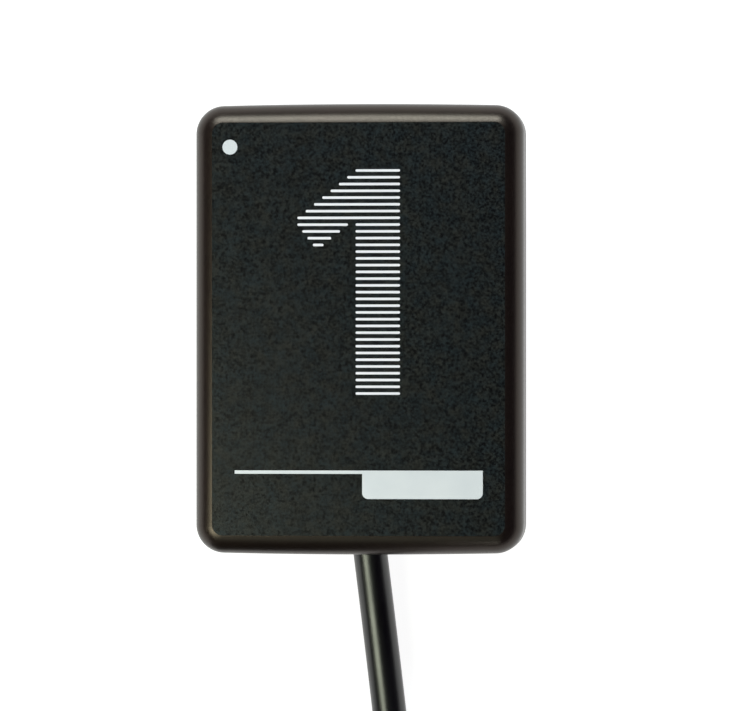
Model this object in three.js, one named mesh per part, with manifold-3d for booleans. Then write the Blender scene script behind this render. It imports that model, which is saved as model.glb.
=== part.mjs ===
// Intraoral x-ray sensor with a direct USB lead, lying on its back with the active face up.
// Millimetres, +Z up. The origin is under the middle of the sensor head, on the surface that it rests on.
// +X is the right and +Y the top of the active face, and the lead leaves the head towards -Y.
import * as THREE from 'three';
import { mergeVertices } from 'three/addons/utils/BufferGeometryUtils.js';
import Module from 'manifold-3d';

const wasm = await Module();
wasm.setup();

// Head outline: a standard size 1 sensor
const headWidth = 27.5;
const headLength = 37.7;
const headCornerRadius = 2.4;
const leastCornerRadius = 0.5;
const endCrown = 0.12;

// Head section: the flat face is bounded by a crease, below which the edge rolls over to the side
const faceInset = 1.45;
const creaseTiltDegrees = 15;
const rearEdgeRadius = 2;
const sideWall = 0.9;
const boardLedge = 0.7;
const ledgeCornerRadius = 0.6;

// Layers of the head, from the front window to the rear wall. Together they make its 7.3 mm thickness
const windowWall = 0.8;
const frontSpacerThickness = 0.4;
const scintillatorThickness = 0.5;
const fibrePlateThickness = 1.4;
const dieThickness = 0.5;
const boardThickness = 0.8;
const componentSpace = 1.4;
const shieldThickness = 0.3;
const rearSpacerThickness = 0.4;
const rearWall = 0.8;

// How far the edge of each layer lies inside the head's outline
const frontSpacerInset = 3.2;
const scintillatorInset = 3.1;
const fibrePlateInset = 3;
const dieInset = 2.5;
const boardFit = 0.25;
const rearLayerFit = 0.3;

// Seal between the two shells, set back so that it leaves a fine groove round the side
const sealThickness = 0.25;
const sealSetback = 0.2;
const sealWidth = 0.55;

// Cable, and the moulded boot that grips it where it leaves the rear boss
const cableDiameter = 2.9;
const cableFit = 0.1;
const bootNeckWall = 0.3;
const bootFit = 0.1;
const bootFlangeStep = 0.35;
const bootFlangeThickness = 0.7;
const bootFlangeRounding = 0.3;
const bootTaperLength = 2.8;
const bootTipStep = 0.1;

// Rear boss that carries the cable and the head: two round ends with a flat exit face
const restClearance = 0.3;
const bossWidth = 11;
const bossExitWidth = 9.2;
const bossFarEnd = 5.4;
const bossExit = 10;
const bossExitCutShare = 0.8;
const bossEdgeRadius = 1.2;
const bossFillet = 0.9;
const bossFloor = 0.75;

// Chamber in the boss where the cable is anchored and its conductors turn up to the board
const chamberWidth = 6.4;
const chamberRear = 4.6;
const chamberFront = 2.8;
const chamberCornerRadius = 0.6;
const anchorThickness = 1;
const anchorFit = 0.1;
const anchorCornerRadius = 0.5;
const jacketStub = 0.7;
const rearOpeningMargin = 0.4;

// Conductors and the header that they end in
const conductorDiameter = 0.5;
const conductorSpacing = 0.85;
const conductorGap = 0.05;
const conductorRun = 0.6;
const headerWidth = 5;
const headerLength = 2.2;
const headerHeight = 1;
const headerCentre = 1.3;

// Components on the back of the board: width, length and height
const controllerWidth = 9;
const controllerHeight = 1.1;
const memoryWidth = 6;
const memoryLength = 8;
const memoryHeight = 0.9;
const regulatorWidth = 3.6;
const regulatorHeight = 0.9;
const crystalWidth = 2.5;
const crystalLength = 3.2;
const crystalHeight = 0.7;
const capacitorWidth = 0.8;
const capacitorLength = 1.6;
const capacitorHeight = 0.8;
const packageCornerRadius = 0.25;
const packageEdge = 0.12;

// Coil of the put-away lead: wound from the outside, layer on layer
const coilMeanRadius = 15.77;
const coilTurnsPerLayer = 3.213;
const coilLayers = 6;
const turnGap = 0.45;
const coilStepsPerTurn = 24;
const coilSides = 6;
const climbShare = 0.5;
const coilStartX = 3.4;
const coilCentreY = -56.5;
const jointGap = 0.3;

// Ties round the coil
const tieThickness = 0.4;
const tieWidth = 3;
const tieGap = 0.3;

// USB plug
const shellWidth = 12;
const shellHeight = 4.5;
const shellWall = 0.3;
const shellCornerRadius = 0.5;
const shellReach = 11.8;
const shellSunk = 6;
const windowWidth = 2.3;
const windowLength = 2;
const windowSetback = 5.2;
const windowSpacing = 5;
const tongueFit = 0.1;
const tongueThickness = 1.85;
const tongueSetback = 0.6;
const contactWidth = 1;
const contactThickness = 0.25;
const contactFit = 0.1;
const powerContactLength = 8.4;
const dataContactLength = 7.4;
const powerContactSpacing = 7;
const dataContactSpacing = 2;
const contactNose = 0.7;
const grooveDepth = 0.2;
const overmouldWidth = 15.6;
const overmouldHeight = 7.8;
const overmouldLength = 24;
const overmouldCornerRadius = 2;
const overmouldEdge = 0.8;
const overmouldTaper = 0.9;
const pocketFit = 0.1;
const gripGrooveDepth = 0.35;
const gripGrooveWidth = 0.9;
const gripPitch = 2;
const gripSetback = 4.6;
const gripCount = 4;
const plugReliefLength = 11;
const plugReliefBaseRadius = 2.9;
const plugReliefTipRadius = 1.9;
const plugReliefRibs = 6;
const plugReliefRibDepth = 0.35;
const plugRest = 0.05;

// Plug's place on the coil, and the cord's route up to it: shares of the coil's outer radius to the
// right and away from its centre, and of the climb from the last turn to the plug
const plugShares = [-0.506, 0.4255];
const tailShares = [
  [-0.72, -0.72, 0.07],
  [-0.913, -0.426, 0.22],
  [-0.993, -0.14, 0.43],
  [-0.968, 0.163, 0.67],
  [-0.875, 0.301, 0.8],
  [-0.737, 0.393, 0.92],
];

// How finely curves are cut into facets
const cornerSteps = 6;
const crownShares = [-0.5, 0, 0.5];
const edgeSteps = 5;
const smallEdgeSteps = 2;
const bossArcSteps = 12;
const roundSides = 20;
const cableSides = 8;
const conductorSides = 6;
const conductorSteps = 9;
const overrun = 1;

// Levels, worked out from the thicknesses above
const cableRadius = cableDiameter / 2;
const bootBoreRadius = cableRadius + cableFit;
const bootNeckRadius = bootBoreRadius + bootNeckWall;
const bossBoreRadius = bootNeckRadius + bootFit;
const bootFlangeRadius = bossBoreRadius + bootFlangeStep;
const cableAxis = bootFlangeRadius + restClearance;
const rearPlane = 2 * cableAxis;
const rearFloor = rearPlane + rearWall;
const shieldBottom = rearFloor + rearSpacerThickness;
const shieldTop = shieldBottom + shieldThickness;
const boardBottom = shieldTop + componentSpace;
const boardTop = boardBottom + boardThickness;
const dieTop = boardTop + dieThickness;
const fibrePlateTop = dieTop + fibrePlateThickness;
const scintillatorTop = fibrePlateTop + scintillatorThickness;
const windowUnderside = scintillatorTop + frontSpacerThickness;
const facePlane = windowUnderside + windowWall;
const frontRim = boardBottom + sealThickness;
const ledgeInset = sideWall + boardLedge;
const bootTip = bossExit + bootFit + bootFlangeThickness + bootTaperLength;

// Makes a mesh's faces point outwards.
function facedOutwards(geometry) {
  const position = geometry.getAttribute('position');
  const index = geometry.getIndex().array;
  const corner = (place) => new THREE.Vector3().fromBufferAttribute(position, index[place]);
  let volume = 0;
  for (let face = 0; face < index.length; face += 3) {
    volume += corner(face).dot(corner(face + 1).cross(corner(face + 2)));
  }
  if (volume < 0) {
    index.reverse();
  }
  return geometry;
}

// A geometry with only its places left and its shared corners merged.
function merged(geometry) {
  const plain = geometry.clone();
  plain.deleteAttribute('normal');
  plain.deleteAttribute('uv');
  return facedOutwards(mergeVertices(plain));
}

// A closed skin through rings of equally many points.
// The end rings are filled, unless the skin closes on itself.
function skin(rings, closesOnItself = false) {
  const count = rings[0].length;
  const points = rings.flat();
  const faces = [];
  const bands = closesOnItself ? rings.length : rings.length - 1;
  for (let band = 0; band < bands; band += 1) {
    const near = band * count;
    const far = ((band + 1) % rings.length) * count;
    for (let i = 0; i < count; i += 1) {
      const next = (i + 1) % count;
      faces.push(near + i, near + next, far + next, near + i, far + next, far + i);
    }
  }
  if (!closesOnItself) {
    const fill = (ring, start, turned) => {
      const middle = ring.reduce((sum, point) => sum.add(point), new THREE.Vector3());
      points.push(middle.divideScalar(count));
      const hub = points.length - 1;
      for (let i = 0; i < count; i += 1) {
        const pair = [start + i, start + ((i + 1) % count)];
        faces.push(hub, ...(turned ? pair.reverse() : pair));
      }
    };
    fill(rings[0], 0, true);
    fill(rings[rings.length - 1], (rings.length - 1) * count, false);
  }
  const geometry = new THREE.BufferGeometry().setFromPoints(points);
  geometry.setIndex(faces);
  return facedOutwards(geometry);
}

function solidOf(geometry) {
  const plain = merged(geometry);
  return new wasm.Manifold(new wasm.Mesh({
    numProp: 3,
    vertProperties: new Float32Array(plain.getAttribute('position').array),
    triVerts: new Uint32Array(plain.getIndex().array),
  }));
}

function geometryOf(solid) {
  const mesh = solid.getMesh();
  const geometry = new THREE.BufferGeometry();
  geometry.setAttribute('position', new THREE.BufferAttribute(mesh.vertProperties, 3));
  geometry.setIndex(new THREE.BufferAttribute(mesh.triVerts, 1));
  return geometry;
}

function cut(geometry, ...tools) {
  return geometryOf(tools.reduce((left, tool) => left.subtract(solidOf(tool)), solidOf(geometry)));
}

function joined(first, second) {
  return geometryOf(solidOf(first).add(solidOf(second)));
}

// Points round a rounded rectangle, anticlockwise. The two ends may be crowned.
function roundedOutline(width, length, radius, crown = 0, steps = cornerSteps) {
  const cornerX = width / 2 - radius;
  const cornerY = length / 2 - crown - radius;
  const points = [];
  const signs = [[1, 1], [-1, 1], [-1, -1], [1, -1]];
  signs.forEach(([signX, signY], corner) => {
    for (let step = 0; step <= steps; step += 1) {
      const angle = (corner + step / steps) * Math.PI / 2;
      points.push(new THREE.Vector2(
        signX * cornerX + radius * Math.cos(angle),
        signY * cornerY + radius * Math.sin(angle),
      ));
    }
    if (crown > 0 && signX === signY) {
      for (const share of crownShares) {
        points.push(new THREE.Vector2(
          -signX * share * cornerX,
          signY * (length / 2 - crown * share * share),
        ));
      }
    }
  });
  return points;
}

// The head's outline, drawn in by an inset.
function headOutline(inset) {
  return roundedOutline(
    headWidth - 2 * inset,
    headLength - 2 * inset,
    Math.max(headCornerRadius - inset, leastCornerRadius),
    endCrown,
  );
}

function atLevel(outline, level) {
  return outline.map((point) => new THREE.Vector3(point.x, point.y, level));
}

function headRing(inset, level) {
  return atLevel(headOutline(inset), level);
}

// A flat layer of the head's stack.
function layer(inset, low, high) {
  return skin([headRing(inset, low), headRing(inset, high)]);
}

// An upright block with round corners and softened edges, from one level to another.
function block(width, length, radius, low, high, edge = 0, centreX = 0, centreY = 0) {
  const levels = edge > 0
    ? [[edge, low], [0, low + edge], [0, high - edge], [edge, high]]
    : [[0, low], [0, high]];
  const rings = levels.map(([inset, level]) => (
    atLevel(roundedOutline(width - 2 * inset, length - 2 * inset, radius, 0, smallEdgeSteps), level)
  ));
  return skin(rings).translate(centreX, centreY, 0);
}

// A solid or tube turned about an axis along Y, from [radius, distance] pairs.
function turned(profile, sides = roundSides) {
  const points = profile.map(([radius, along]) => new THREE.Vector2(radius, along));
  return merged(new THREE.LatheGeometry(points, sides));
}

function roundBar(radius, length, sides = roundSides) {
  return turned([[0, 0], [radius, 0], [radius, length], [0, length]], sides);
}

function roundSection(radius, sides) {
  const shape = new THREE.Shape();
  for (let side = 0; side < sides; side += 1) {
    const angle = (side + 1 / 2) * 2 * Math.PI / sides;
    const point = [radius * Math.cos(angle), radius * Math.sin(angle)];
    if (side === 0) {
      shape.moveTo(...point);
    } else {
      shape.lineTo(...point);
    }
  }
  shape.closePath();
  return shape;
}

// A round solid that follows a smooth curve through the given points.
function tube(points, radius, sides, steps) {
  const path = new THREE.CatmullRomCurve3(points);
  const geometry = new THREE.ExtrudeGeometry(roundSection(radius, sides), {
    extrudePath: path,
    steps,
    bevelEnabled: false,
  });
  return merged(geometry);
}

const model = new THREE.Group();

function addPiece(name, geometry, color, roughness, metalness = 0) {
  const material = new THREE.MeshStandardMaterial({ color, roughness, metalness });
  const piece = new THREE.Mesh(geometry, material);
  piece.name = name;
  model.add(piece);
  return piece;
}

const black = 0x17191a;
const darkRubber = 0x121314;
const steel = 0xb9bdc2;
const gold = 0xc9a24a;
const boardGreen = 0x1f5a3a;
const packageBlack = 0x202224;
const siliconeGrey = 0x55595c;

// Front shell: window, crease, rolled edge and side wall, hollow from below
function frontShell() {
  const crease = THREE.MathUtils.degToRad(creaseTiltDegrees);
  const outerRadius = faceInset / (1 - Math.sin(crease));
  const innerRadius = outerRadius - sideWall;
  const arcCentre = facePlane - outerRadius * Math.cos(crease);
  const innerRings = [headRing(sideWall, frontRim)];
  const outerRings = [headRing(0, frontRim)];
  for (let step = 0; step <= edgeSteps; step += 1) {
    const tilt = Math.PI / 2 + (crease - Math.PI / 2) * step / edgeSteps;
    const inset = outerRadius * (1 - Math.sin(tilt));
    outerRings.push(headRing(inset, arcCentre + outerRadius * Math.cos(tilt)));
  }
  for (let step = 0; step <= smallEdgeSteps; step += 1) {
    const tilt = Math.PI / 2 * (1 - step / smallEdgeSteps);
    const inset = outerRadius - innerRadius * Math.sin(tilt);
    innerRings.push(headRing(inset, windowUnderside - innerRadius * (1 - Math.cos(tilt))));
  }
  return skin([...innerRings.reverse(), ...outerRings]);
}

// Outline of the boss: a wide round end and a narrower one joined by straight flanks
function bossOutline(offset) {
  const farRadius = bossWidth / 2 + offset;
  const exitRadius = bossExitWidth / 2 + offset;
  const farCentre = bossFarEnd - bossWidth / 2;
  const exitCentre = bossExitCutShare * bossExitWidth / 2 - bossExit;
  const flank = -Math.asin((farRadius - exitRadius) / (farCentre - exitCentre));
  const points = [];
  const arc = (centre, radius, from, to) => {
    for (let step = 0; step <= bossArcSteps; step += 1) {
      const angle = from + (to - from) * step / bossArcSteps;
      points.push(new THREE.Vector2(radius * Math.cos(angle), centre + radius * Math.sin(angle)));
    }
  };
  arc(farCentre, farRadius, flank, Math.PI - flank);
  arc(exitCentre, exitRadius, Math.PI - flank, 2 * Math.PI + flank);
  return points;
}

// The boss itself, rounded at its flat foot and flared where it meets the head's back
function boss() {
  const rings = [];
  for (let step = 0; step <= edgeSteps; step += 1) {
    const tilt = Math.PI / 2 * step / edgeSteps;
    const offset = -bossEdgeRadius * (1 - Math.sin(tilt));
    rings.push(atLevel(bossOutline(offset), bossEdgeRadius * (1 - Math.cos(tilt))));
  }
  for (let step = 0; step <= edgeSteps; step += 1) {
    const tilt = Math.PI / 2 * step / edgeSteps;
    const offset = bossFillet * (1 - Math.cos(tilt));
    rings.push(atLevel(bossOutline(offset), rearPlane - bossFillet * (1 - Math.sin(tilt))));
  }
  rings.push(atLevel(bossOutline(bossFillet), rearPlane + rearWall / 2));
  const beyond = new THREE.BoxGeometry(2 * bossWidth, bossWidth, 2 * facePlane + overrun);
  beyond.translate(0, -bossExit - bossWidth / 2, 0);
  return cut(skin(rings), beyond);
}

// Rear shell: tray with a rounded rear edge, its boss, the cable's bore and the anchor chamber
function rearShell() {
  const outerRings = [headRing(0, boardBottom)];
  for (let step = 0; step <= edgeSteps; step += 1) {
    const tilt = Math.PI / 2 * step / edgeSteps;
    const inset = rearEdgeRadius * (1 - Math.cos(tilt));
    outerRings.push(headRing(inset, rearPlane + rearEdgeRadius * (1 - Math.sin(tilt))));
  }
  const innerRings = [
    headRing(ledgeInset, boardBottom),
    headRing(ledgeInset, rearFloor + ledgeCornerRadius),
    headRing(ledgeInset + ledgeCornerRadius, rearFloor),
  ];
  const tray = skin([...innerRings.reverse(), ...outerRings]);
  const bore = roundBar(bossBoreRadius, bossExit - chamberRear + 2 * overrun);
  bore.translate(0, -bossExit - overrun, cableAxis);
  const chamberLength = chamberRear + chamberFront;
  const chamber = block(chamberWidth, chamberLength, chamberCornerRadius, bossFloor, rearFloor + overrun);
  chamber.translate(0, (chamberFront - chamberRear) / 2, 0);
  return cut(joined(tray, boss()), bore, chamber);
}

// A ring between the two rims
function perimeterSeal() {
  const outer = sealSetback;
  const inner = sealSetback + sealWidth;
  return skin([
    headRing(outer, boardBottom),
    headRing(outer, frontRim),
    headRing(inner, frontRim),
    headRing(inner, boardBottom),
  ], true);
}

// A rear layer, open over the chamber
function rearLayer(low, high) {
  const width = chamberWidth + 2 * rearOpeningMargin;
  const length = chamberRear + chamberFront + 2 * rearOpeningMargin;
  const opening = block(width, length, chamberCornerRadius, low - overrun, high + overrun);
  opening.translate(0, (chamberFront - chamberRear) / 2, 0);
  return cut(layer(ledgeInset + ledgeCornerRadius + rearLayerFit, low, high), opening);
}

// A component under the board. Its place is a share of the board's half width and half length
function component(width, length, height, placeShares) {
  const centreX = placeShares[0] * (headWidth / 2 - sideWall);
  const centreY = placeShares[1] * (headLength / 2 - sideWall);
  const low = boardBottom - height;
  return block(width, length, packageCornerRadius, low, boardBottom, packageEdge, centreX, centreY);
}

// Boot: a neck in the bore, a flange on the boss and a short taper along the cable
function strainReliefBoot() {
  const flangeStart = bootFit;
  const flangeEnd = flangeStart + bootFlangeThickness;
  const tip = flangeEnd + bootTaperLength;
  const tipRadius = bootBoreRadius + bootTipStep;
  return turned([
    [bootBoreRadius, chamberRear - bossExit],
    [bootNeckRadius, chamberRear - bossExit],
    [bootNeckRadius, flangeStart],
    [bootFlangeRadius, flangeStart],
    [bootFlangeRadius, flangeEnd - bootFlangeRounding],
    [bootFlangeRadius - bootFlangeRounding, flangeEnd],
    [(bootNeckRadius + tipRadius) / 2, (flangeEnd + tip) / 2],
    [tipRadius, tip],
    [bootBoreRadius, tip],
    [bootBoreRadius, chamberRear - bossExit],
  ]).rotateZ(Math.PI).translate(0, -bossExit, cableAxis);
}

// Anchor plate crimped on the cable, which stops it from being pulled out of the boss
function cableAnchor() {
  const width = chamberWidth - 2 * chamberCornerRadius - 2 * anchorFit;
  const low = bossFloor + anchorFit;
  const height = rearPlane - low;
  const outline = roundedOutline(width, height, anchorCornerRadius);
  const shape = new THREE.Shape(outline.map((point) => point.setY(point.y + low + height / 2 - cableAxis)));
  shape.holes.push(new THREE.Path(roundSection(bootBoreRadius, roundSides).getPoints()));
  const plate = new THREE.ExtrudeGeometry(shape, { depth: anchorThickness, bevelEnabled: false });
  plate.rotateX(Math.PI / 2).translate(0, anchorThickness + anchorFit - chamberRear, cableAxis);
  return merged(plate);
}

// The jacketed end of the cable, from inside the chamber to the boot's tip
const jacketEnd = anchorThickness + anchorFit + jacketStub - chamberRear;

function cableJacketEnd() {
  const bar = roundBar(cableRadius, jacketEnd + bootTip);
  return bar.translate(0, -bootTip, cableAxis);
}

// A conductor from the jacket's end up to the header.
// Its places in the cable and in the header are given as shares.
function conductor([startShareX, startShareZ], headerShare) {
  const startX = startShareX * conductorSpacing / 2;
  const startZ = cableAxis + startShareZ * conductorSpacing / 2;
  const start = jacketEnd + conductorGap;
  const endX = headerShare * headerWidth / 2;
  const endZ = boardBottom - headerHeight - conductorGap;
  const bendX = (startX + endX) / 2;
  const bendY = (start + conductorRun + headerCentre) / 2;
  return tube([
    new THREE.Vector3(startX, start, startZ),
    new THREE.Vector3(startX, start + conductorRun, startZ),
    new THREE.Vector3(bendX, bendY, (startZ + cableAxis) / 2),
    new THREE.Vector3(endX, headerCentre, (cableAxis + endZ) / 2),
    new THREE.Vector3(endX, headerCentre, endZ - conductorRun),
    new THREE.Vector3(endX, headerCentre, endZ),
  ], conductorDiameter / 2, conductorSides, conductorSteps);
}

addPiece('front_shell', frontShell(), black, 0.55);
addPiece('rear_shell', rearShell(), black, 0.55);
addPiece('perimeter_seal', perimeterSeal(), darkRubber, 0.8);
addPiece('front_spacer', layer(frontSpacerInset, scintillatorTop, windowUnderside), siliconeGrey, 0.95);
addPiece('scintillator_plate', layer(scintillatorInset, fibrePlateTop, scintillatorTop), 0xe8e6dc, 0.7);
addPiece('fibre_optic_plate', layer(fibrePlateInset, dieTop, fibrePlateTop), 0x9fb0b5, 0.15);
addPiece('image_sensor_die', layer(dieInset, boardTop, dieTop), 0x4b4658, 0.2, 0.4);
addPiece('sensor_board', layer(sideWall + boardFit, boardBottom, boardTop), boardGreen, 0.5);
addPiece('backscatter_shield', rearLayer(shieldBottom, shieldTop), 0x7d8084, 0.5, 0.9);
addPiece('rear_spacer', rearLayer(rearFloor, shieldBottom), siliconeGrey, 0.95);

const controllerPlaceShares = [0, 0.52];
const memoryPlaceShares = [-0.5, -0.5];
const regulatorPlaceShares = [0.62, -0.3];
const crystalPlaceShares = [0.66, 0.12];
const capacitorPlacesShares = [[0.2, -0.66], [0.36, -0.66], [0.52, -0.66], [0.68, -0.66]];

const controller = component(controllerWidth, controllerWidth, controllerHeight, controllerPlaceShares);
const memory = component(memoryWidth, memoryLength, memoryHeight, memoryPlaceShares);
const regulator = component(regulatorWidth, regulatorWidth, regulatorHeight, regulatorPlaceShares);
const crystal = component(crystalWidth, crystalLength, crystalHeight, crystalPlaceShares);
addPiece('controller_chip', controller, packageBlack, 0.6);
addPiece('memory_chip', memory, packageBlack, 0.6);
addPiece('regulator_chip', regulator, packageBlack, 0.6);
addPiece('timing_crystal', crystal, steel, 0.3, 0.9);
capacitorPlacesShares.forEach((placeShares, index) => {
  const capacitor = component(capacitorWidth, capacitorLength, capacitorHeight, placeShares);
  addPiece(`capacitor_${index + 1}`, capacitor, 0xa98a63, 0.6);
});

const header = block(
  headerWidth, headerLength, packageCornerRadius, boardBottom - headerHeight, boardBottom, 0, 0, headerCentre,
);
addPiece('wire_header', header, 0xe9e6df, 0.5);
addPiece('strain_relief_boot', strainReliefBoot(), darkRubber, 0.6);
addPiece('cable_anchor', cableAnchor(), steel, 0.35, 0.9);
addPiece('cable_jacket_end', cableJacketEnd(), darkRubber, 0.5);

const conductors = [
  ['conductor_power', 0xb3262a, [-1, 1], -0.27],
  ['conductor_ground', 0x151515, [1, 1], 0.27],
  ['conductor_data_minus', 0xe6e6e6, [-1, -1], -0.8],
  ['conductor_data_plus', 0x2f8f4a, [1, -1], 0.8],
];
conductors.forEach(([name, color, startShares, headerShare]) => {
  addPiece(name, conductor(startShares, headerShare), color, 0.5);
});

// Coil: the cord spirals in on one layer and out on the next, and climbs where the spiral reverses
const coilPitch = cableDiameter + turnGap;
const coilTurns = coilTurnsPerLayer * coilLayers;
const coilOuterRadius = coilMeanRadius + coilTurnsPerLayer * coilPitch / 2;
const coilCentreX = coilStartX - coilOuterRadius;
const coilLift = tieThickness + tieGap + cableRadius;
const coilEndAngle = -coilTurns * 2 * Math.PI;
const coilLeaving = new THREE.Vector3(Math.sin(coilEndAngle), -Math.cos(coilEndAngle), 0);

function coilPoint(turn) {
  const layerIndex = Math.min(Math.floor(turn / coilTurnsPerLayer), coilLayers - 1);
  const along = turn - layerIndex * coilTurnsPerLayer;
  const inwards = layerIndex % 2 === 0 ? along : coilTurnsPerLayer - along;
  const radius = coilOuterRadius - inwards * coilPitch;
  let climbed = 0;
  for (let reversal = 1; reversal < coilLayers; reversal += 1) {
    const share = (turn - reversal * coilTurnsPerLayer) / climbShare + 1 / 2;
    climbed += THREE.MathUtils.smoothstep(share, 0, 1);
  }
  const angle = -turn * 2 * Math.PI;
  return new THREE.Vector3(
    coilCentreX + radius * Math.cos(angle),
    coilCentreY + radius * Math.sin(angle),
    coilLift + climbed * coilPitch,
  );
}

function coilCentreline() {
  const points = [];
  const steps = Math.round(coilTurns * coilStepsPerTurn);
  for (let step = 0; step <= steps; step += 1) {
    points.push(coilPoint(coilTurns * step / steps));
  }
  const entering = new THREE.Vector3(0, cableDiameter, 0);
  points.unshift(points[0].clone().add(entering));
  points.push(points[points.length - 1].clone().addScaledVector(coilLeaving, cableDiameter));
  return points;
}

// Rings of the cord's section, square to the line at each point.
// One corner of each points away from the coil's axis.
function cordRings(points) {
  return points.map((point, index) => {
    const before = points[Math.max(index - 1, 0)];
    const after = points[Math.min(index + 1, points.length - 1)];
    const along = after.clone().sub(before).normalize();
    const outwards = new THREE.Vector3(point.x - coilCentreX, point.y - coilCentreY, 0);
    outwards.addScaledVector(along, -outwards.dot(along)).normalize();
    const upwards = along.clone().cross(outwards);
    const ring = [];
    for (let side = 0; side < coilSides; side += 1) {
      const angle = side * 2 * Math.PI / coilSides;
      const corner = point.clone().addScaledVector(outwards, cableRadius * Math.cos(angle));
      ring.push(corner.addScaledVector(upwards, cableRadius * Math.sin(angle)));
    }
    return ring;
  });
}

const coilLine = coilCentreline();
const coilRings = cordRings(coilLine);

// Least distance between corners of rings that lie at least half a turn apart along the cord
function leastCoilGap(rings) {
  let least = Infinity;
  for (let first = 0; first < rings.length; first += 1) {
    for (let second = first + coilStepsPerTurn / 2; second < rings.length; second += 1) {
      for (const corner of rings[first]) {
        for (const other of rings[second]) {
          least = Math.min(least, corner.distanceTo(other));
        }
      }
    }
  }
  return least;
}

// Cord stretches: from the boot to the coil, and from the coil to the plug
const coilStart = coilLine[0];
const coilEnd = coilLine[coilLine.length - 1];
const runLine = [
  new THREE.Vector3(0, -bootTip - jointGap, cableAxis),
  new THREE.Vector3(0, -bootTip - jointGap - cableDiameter, cableAxis),
  new THREE.Vector3(0.26, -19.1, 2.35),
  new THREE.Vector3(0.7, -23, 1.85),
  new THREE.Vector3(1.28, -28, 1.55),
  new THREE.Vector3(1.86, -33, 1.5),
  new THREE.Vector3(2.42, -38, 1.52),
  new THREE.Vector3(2.9, -43, 1.65),
  new THREE.Vector3(3.22, -46.8, 1.88),
  new THREE.Vector3(coilStart.x, coilStart.y + jointGap + cableDiameter, coilStart.z),
  new THREE.Vector3(coilStart.x, coilStart.y + jointGap, coilStart.z),
];

// A place over the coil, from shares of its outer radius
function overCoil([acrossShare, alongShare], level) {
  const x = coilCentreX + acrossShare * coilOuterRadius;
  const y = coilCentreY + alongShare * coilOuterRadius;
  return new THREE.Vector3(x, y, level);
}

const plugTip = overCoil(plugShares, coilEnd.z + cableRadius + plugRest + overmouldHeight / 2);
const tailLine = [
  coilEnd.clone().addScaledVector(coilLeaving, jointGap),
  coilEnd.clone().addScaledVector(coilLeaving, jointGap + cableDiameter),
  ...tailShares.map(([acrossShare, alongShare, climbedShare]) => (
    overCoil([acrossShare, alongShare], THREE.MathUtils.lerp(coilEnd.z, plugTip.z, climbedShare))
  )),
  new THREE.Vector3(plugTip.x - jointGap - cableRadius, plugTip.y, plugTip.z),
  new THREE.Vector3(plugTip.x - jointGap, plugTip.y, plugTip.z),
];
const runSteps = 14;
const tailSteps = 10;

addPiece('cable_run', tube(runLine, cableRadius, cableSides, runSteps), darkRubber, 0.5);
addPiece('cable_coil', skin(coilRings), darkRubber, 0.5);
addPiece('cable_tail', tube(tailLine, cableRadius, cableSides, tailSteps), darkRubber, 0.5);

const lineLength = (points) => new THREE.CatmullRomCurve3(points).getLength();
const coilSteps = coilLine.slice(1).map((point, index) => point.distanceTo(coilLine[index]));
const coilLength = coilSteps.reduce((sum, step) => sum + step, 0);
const cordLength = lineLength(runLine) + coilLength + lineLength(tailLine) + 2 * jointGap;
console.log(`coil least gap ${leastCoilGap(coilRings).toFixed(2)} mm, cord ${cordLength.toFixed(0)} mm`);

// A tie is a band fitted round the turns that cross its place on the coil
function coilTie(side) {
  const near = coilLine.filter((point) => (
    Math.abs(point.x - coilCentreX) < tieWidth && side * (point.y - coilCentreY) > 0
  ));
  const distances = near.map((point) => Math.hypot(point.x - coilCentreX, point.y - coilCentreY));
  const levels = near.map((point) => point.z);
  const clear = cableRadius + tieGap;
  const inner = Math.min(...distances) - clear;
  const outer = Math.max(...distances) + clear;
  const low = Math.min(...levels) - clear;
  const high = Math.max(...levels) + clear;
  const width = outer - inner;
  const height = high - low;
  const band = roundedOutline(width + 2 * tieThickness, height + 2 * tieThickness, clear + tieThickness);
  const shape = new THREE.Shape(band);
  shape.holes.push(new THREE.Path(roundedOutline(width, height, clear)));
  const tie = new THREE.ExtrudeGeometry(shape, { depth: tieWidth, bevelEnabled: false });
  tie.translate((inner + outer) / 2, (low + high) / 2, -tieWidth / 2);
  tie.rotateX(Math.PI / 2).rotateZ(side * Math.PI / 2).translate(coilCentreX, coilCentreY, 0);
  return merged(tie);
}

addPiece('coil_tie_near', coilTie(1), 0x2a2c2e, 0.8);
addPiece('coil_tie_far', coilTie(-1), 0x2a2c2e, 0.8);

// Plug, in its own frame: the cord comes in at y = 0 and the metal shell points to +Y.
// It lies on the coil, turned to point to +X.
const overmouldStart = plugReliefLength;
const overmouldEnd = overmouldStart + overmouldLength;
const shellMouth = overmouldEnd + shellReach;
const shellRear = overmouldEnd - shellSunk;

// An outline drawn across the plug, placed at a distance along it
function acrossPlug(outline, along) {
  return outline.map((point) => new THREE.Vector3(point.x, along, point.y));
}

function plugBlock(width, height, radius, from, to) {
  const outline = roundedOutline(width, height, radius);
  return skin([acrossPlug(outline, from), acrossPlug(outline, to)]);
}

function plugShell() {
  const innerWidth = shellWidth - 2 * shellWall;
  const innerHeight = shellHeight - 2 * shellWall;
  const outer = plugBlock(shellWidth, shellHeight, shellCornerRadius, shellRear, shellMouth);
  const innerRadius = shellCornerRadius - shellWall;
  const inner = plugBlock(innerWidth, innerHeight, innerRadius, shellRear - overrun, shellMouth + overrun);
  const openings = [-1, 1].map((side) => {
    const opening = new THREE.BoxGeometry(windowWidth, windowLength, 2 * shellHeight);
    return opening.translate(side * windowSpacing / 2, shellMouth - windowSetback - windowLength / 2, 0);
  });
  return cut(outer, inner, ...openings);
}

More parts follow.
